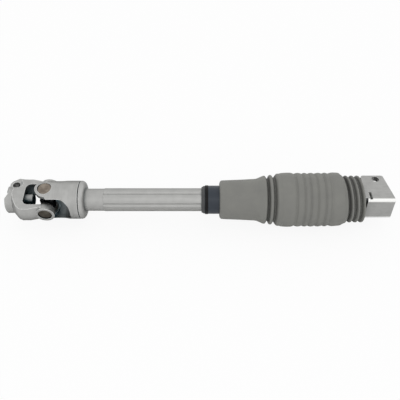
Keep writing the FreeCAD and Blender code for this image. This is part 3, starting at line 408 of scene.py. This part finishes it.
def weldedCopy(nodeName):
    source = nodes[nodeName]
    bm = bmesh.new()
    bm.from_mesh(source.data)
    bmesh.ops.remove_doubles(bm, verts=bm.verts, dist=weldLook["weld"])
    if nodeName == "upper_clamp_yoke":
        bm = cutSplines(bm)
    shade(bm, weldLook["sharp"])
    piece = addPiece(nodeName + "_finished", bm, slotOf[nodeName], source["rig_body"], finishOf.get(nodeName))
    if nodeName in boreOf:
        paintBore(piece, mounts[boreOf[nodeName]])
    if nodeName == reliefSlot["node"]:
        paintSlots(piece)
    if "custom_normal" in piece.data.attributes:
        piece.data.attributes.remove(piece.data.attributes["custom_normal"])
    weighted = piece.modifiers.new("even shading", "WEIGHTED_NORMAL")
    weighted.keep_sharp = True
    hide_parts(nodeName)


for nodeName in sorted(nodes):
    if nodeName != "boot":
        weldedCopy(nodeName)
print("steel, caps and bearings dressed")


# Boot: stations are millimetres from the lower joint, with radii. It is made in two pieces that meet at the
# seam.
boot = {
    "neck": [(-118.7, 18.4), (-117.8, 20.3), (-115.8, 21.2), (-106.0, 21.65), (-96.0, 22.05), (-87.0, 22.5),
             (-79.5, 23.0), (-76.2, 24.0), (-74.0, 25.0), (-71.8, 25.9), (-70.3, 26.35), (-69.2, 26.1)],
    "collar": [(-68.2, 24.7), (-67.3, 23.4), (-66.5, 23.3), (-65.7, 24.6), (-64.7, 26.6), (-63.4, 27.3),
               (-62.1, 26.8), (-61.1, 25.2), (-60.2, 24.3), (-59.3, 24.6), (-58.0, 26.6), (-56.8, 28.1),
               (-55.4, 28.7), (-53.2, 28.75), (-51.4, 29.3), (-47.0, 29.65), (-43.0, 29.72), (-40.0, 29.45)],
    "valleys": (-37.3, -29.0, -22.5, -15.0, -7.0, -0.6),
    "rippleLow": 28.35, "rippleSide": 29.05, "rippleHigh": 29.5, "crease": 1.5,
    "band": [(3.4, 29.4), (8.0, 29.3), (11.3, 29.0), (12.6, 28.4), (13.9, 27.4), (15.0, 26.9), (15.9, 26.5),
             (16.8, 24.6)],
    "foldStart": 18.2, "foldPitch": 6.25, "foldCount": 3, "end": 35.2,
    "fold": [(0.0, 22.45), (0.9, 22.9), (1.9, 24.5), (2.6, 25.4), (3.2, 25.75), (3.9, 25.6), (4.8, 24.5),
             (5.5, 22.9)],
    "wall": 1.2, "insideFrom": 29.0, "lip": 15.0, "lipWidth": 2.0, "lipClear": 1.0,
    "step": 0.4, "segments": 120, "weld": 1e-6, "sharp": 50.0,
    "tilt": 5.0, "tiltFrom": 8.0, "tiltOver": 10.0, "lift": 0.8, "liftFrom": -20.0, "liftOver": 45.0,
    "seam": -0.6, "bendFrom": -34.0, "bendTo": 24.0,
}


def smoothLine(points, step):
    # points of a smooth curve through the given ones, about a step apart
    line = []
    ends = [points[0]] + points + [points[-1]]
    for a, b, c, d in zip(ends, ends[1:], ends[2:], ends[3:]):
        count = max(1, round(math.dist(b, c) / step))
        for index in range(count):
            t = index / count
            weights = (-t + 2 * t * t - t ** 3, 2 - 5 * t * t + 3 * t ** 3,
                       t + 4 * t * t - 3 * t ** 3, t ** 3 - t * t)
            line.append(tuple(sum(w * p[axis] for w, p in zip(weights, (a, b, c, d))) / 2 for axis in (0, 1)))
    return line + [points[-1]]


def bootOutline():
    points = boot["neck"] + boot["collar"]
    for here, after in zip(boot["valleys"], boot["valleys"][1:]):
        points += [(here, boot["rippleLow"]), (here + boot["crease"], boot["rippleSide"]),
                   ((here + after) / 2, boot["rippleHigh"]), (after - boot["crease"], boot["rippleSide"])]
    points.append((boot["valleys"][-1], boot["rippleLow"]))
    points += boot["band"]
    for index in range(boot["foldCount"]):
        start = boot["foldStart"] + index * boot["foldPitch"]
        points += [(start + along, radius) for along, radius in boot["fold"] if start + along < boot["end"]]
    return smoothLine(points, boot["step"])


def smoothShare(value, start, over):
    share = min(1, max(0, (value - start) / over))
    return share * share * (3 - 2 * share)


def leanBoot(bm):
    # the folds at the end lean back and sit a little high, as they do once the joint has been moved
    up = Vector((0, 1, 1)).normalized()
    for vert in bm.verts:
        station = (vert.co.x - lowerJoint) / mm
        height = vert.co.dot(up)
        lean = smoothShare(station, boot["tiltFrom"], boot["tiltOver"])
        vert.co.x -= math.tan(math.radians(boot["tilt"])) * height * lean
        vert.co += up * boot["lift"] * mm * smoothShare(station, boot["liftFrom"], boot["liftOver"])


def bootWall(outline, lipped):
    # the inside of the wall, from the far end back, with a lip at the mouth that closes on the tube
    inside = [(x, min(radius, boot["insideFrom"]) - boot["wall"]) for x, radius in reversed(outline)]
    if lipped:
        mouth = outline[0][0]
        lipEnd = mouth + boot["lipWidth"]
        inside = [(x, radius) for x, radius in inside if x > lipEnd + boot["lipClear"]]
        inside += [(lipEnd, inside[-1][1]), (lipEnd, boot["lip"]), (mouth, boot["lip"])]
    return inside


def bootPiece(name, outline, lipped=False):
    # a stretch of the boot: its outline and an even wall, turned about the shaft
    profile = outline + bootWall(outline, lipped)
    bm = bmesh.new()
    ring = [bm.verts.new((lowerJoint + x * mm, 0, radius * mm)) for x, radius in profile]
    edges = [bm.edges.new((a, b)) for a, b in zip(ring, ring[1:] + ring[:1])]
    bmesh.ops.spin(bm, geom=ring + edges, cent=(lowerJoint, 0, 0), axis=(1, 0, 0), angle=math.tau,
                   steps=boot["segments"], use_merge=True)
    bmesh.ops.remove_doubles(bm, verts=bm.verts, dist=boot["weld"])
    bmesh.ops.recalc_face_normals(bm, faces=bm.faces)
    leanBoot(bm)
    shade(bm, boot["sharp"])
    piece = addPiece(name, bm, "boot_rubber")
    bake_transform(piece)
    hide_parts("boot")


bootLine = bootOutline()
seam = min(range(len(bootLine)), key=lambda index: abs(bootLine[index][0] - boot["seam"]))
bootPiece("boot_sleeve", bootLine[:seam + 1],
          lipped=True)
bootPiece("boot_folds", bootLine[seam:])
print("boot made")


# Studio: pale floor, even light from all round and one soft lamp above the camera
studio = {"middle": 0.2, "floorSize": 4.0, "floorKeep": 0.1, "floorShine": 0.1, "paper": "F2F2F2",
          "world": 0.95, "keyPower": 0.28, "keySize": 0.3, "keyPlace": (0.2, -0.6, 0.64)}


def seenDirectly(tree, direct, mirrored):
    # how much of the plain white shows: to the camera or through glass, and in a reflection
    path = addNode(tree, "ShaderNodeLightPath").outputs
    either = addNode(tree, "ShaderNodeMath", {"operation": "MAXIMUM"},
                     {0: path["Is Camera Ray"], 1: path["Is Transmission Ray"]}).outputs[0]
    straight = addNode(tree, "ShaderNodeMath", {"operation": "MULTIPLY", 1: direct}, {0: either}).outputs[0]
    return addNode(tree, "ShaderNodeMath", {"operation": "MULTIPLY_ADD", 1: mirrored},
                   {0: path["Is Glossy Ray"], 2: straight}).outputs[0]


def makeFloor():
    # white paper: floorKeep is how much of its own light and shadow the camera sees
    bm = bmesh.new()
    bmesh.ops.create_grid(bm, x_segments=1, y_segments=1, size=studio["floorSize"] / 2,
                          matrix=Matrix.Translation((studio["middle"], 0, cadBox[0].z)))
    mesh = bpy.data.meshes.new("floor")
    bm.to_mesh(mesh)
    bm.free()
    floor = bpy.data.objects.new("floor", mesh)
    scene.collection.objects.link(floor)
    material, tree = newMaterial("white paper")
    paper = addNode(tree, "ShaderNodeBsdfDiffuse", {"Color": fromHex(studio["paper"])})
    glow = addNode(tree, "ShaderNodeEmission", {"Color": fromHex("FFFFFF"), "Strength": 1.0})
    share = seenDirectly(tree, 1 - studio["floorKeep"], studio["floorShine"])
    mixed = addNode(tree, "ShaderNodeMixShader", {}, {0: share, 1: paper.outputs["BSDF"],
                                                      2: glow.outputs["Emission"]})
    addNode(tree, "ShaderNodeOutputMaterial", {}, {"Surface": mixed.outputs["Shader"]})
    mesh.materials.append(material)


def makeWorld():
    # the tent round the shaft: its light, and the plain white that the camera and the metal see
    world = bpy.data.worlds.new("light tent")
    scene.world = world
    world.use_nodes = True
    tree = world.node_tree
    tree.nodes.clear()
    lit = addNode(tree, "ShaderNodeBackground", {"Color": fromHex("FFFFFF"), "Strength": studio["world"]})
    white = addNode(tree, "ShaderNodeBackground", {"Color": fromHex("FFFFFF"), "Strength": 1.0})
    share = seenDirectly(tree, 1, 1)
    mixed = addNode(tree, "ShaderNodeMixShader", {}, {0: share, 1: lit.outputs["Background"],
                                                      2: white.outputs["Background"]})
    addNode(tree, "ShaderNodeOutputWorld", {}, {"Surface": mixed.outputs["Shader"]})


def makeKey():
    lamp = bpy.data.lights.new("soft key", "AREA")
    lamp.energy = studio["keyPower"]
    lamp.size = studio["keySize"]
    key = bpy.data.objects.new("soft key", lamp)
    key.location = studio["keyPlace"]
    aim = Vector((studio["middle"], 0, 0)) - key.location
    key.rotation_euler = aim.to_track_quat("-Z", "Y").to_euler()
    scene.collection.objects.link(key)


# Camera as in the photograph: 45 degrees above the shaft, 0.6 m from the middle of the picture
photoView = {"aim": (0.202, -0.00023, -0.00023), "elevation": 45.0, "distance": 0.6, "lens": 49.09,
             "sensor": 36.0, "nearest": 0.01}


def makeCamera():
    data = bpy.data.cameras.new("camera")
    data.lens = photoView["lens"]
    data.sensor_width = photoView["sensor"]
    data.clip_start = photoView["nearest"]
    camera = bpy.data.objects.new("camera", data)
    rise = math.radians(photoView["elevation"])
    away = Vector((0, -math.cos(rise), math.sin(rise)))
    camera.location = Vector(photoView["aim"]) + photoView["distance"] * away
    camera.rotation_euler = (math.pi / 2 - rise, 0, 0)
    scene.collection.objects.link(camera)
    scene.camera = camera


makeFloor()
makeWorld()
makeKey()
makeCamera()
print("studio ready")
